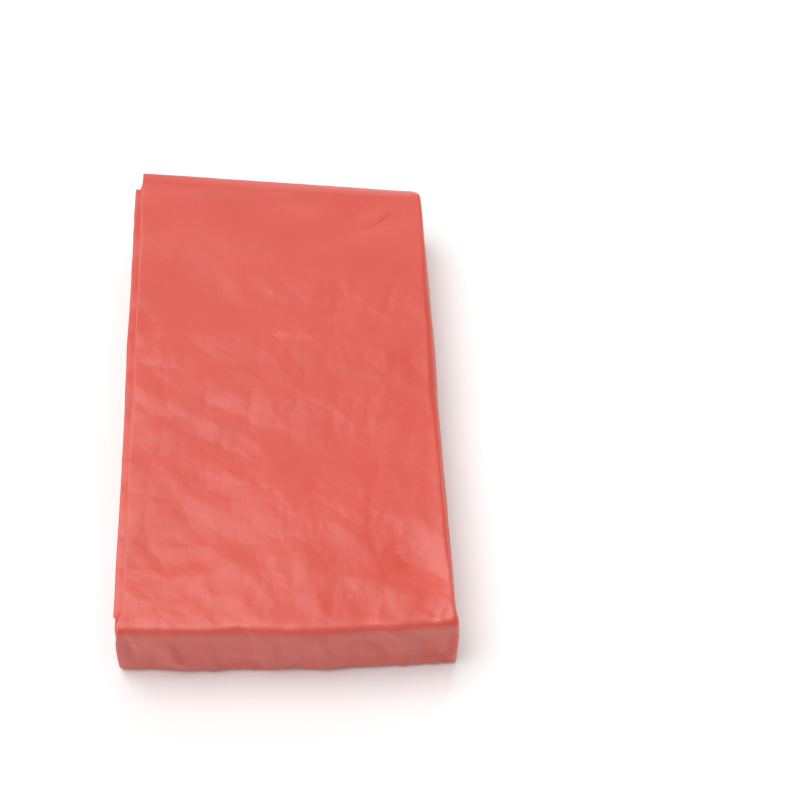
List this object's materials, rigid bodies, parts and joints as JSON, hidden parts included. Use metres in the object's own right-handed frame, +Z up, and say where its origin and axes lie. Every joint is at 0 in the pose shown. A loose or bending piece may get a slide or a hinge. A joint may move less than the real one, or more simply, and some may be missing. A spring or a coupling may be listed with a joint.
{
  "type": "folded emergency bivy sack",
  "caption": "Emergency bivy sack of orange-red plastic film, folded back and forth into a flat oblong pack with a rounded near end and an overhanging far fold.",
  "frame": {"origin": "middle of the pack's underside, on the surface that it rests on", "axes": "+Y runs along the pack from the rounded near end to the overhanging far fold, +X across it to the right, +Z up"},
  "size_m": [0.116, 0.198, 0.031],
  "materials": {
    "sack_film": "orange-red low-density polyethylene film, satin, slightly creased"
  },
  "bodies": {
    "root": {"folded_sack": "sack_film"}
  },
  "joints": []
}
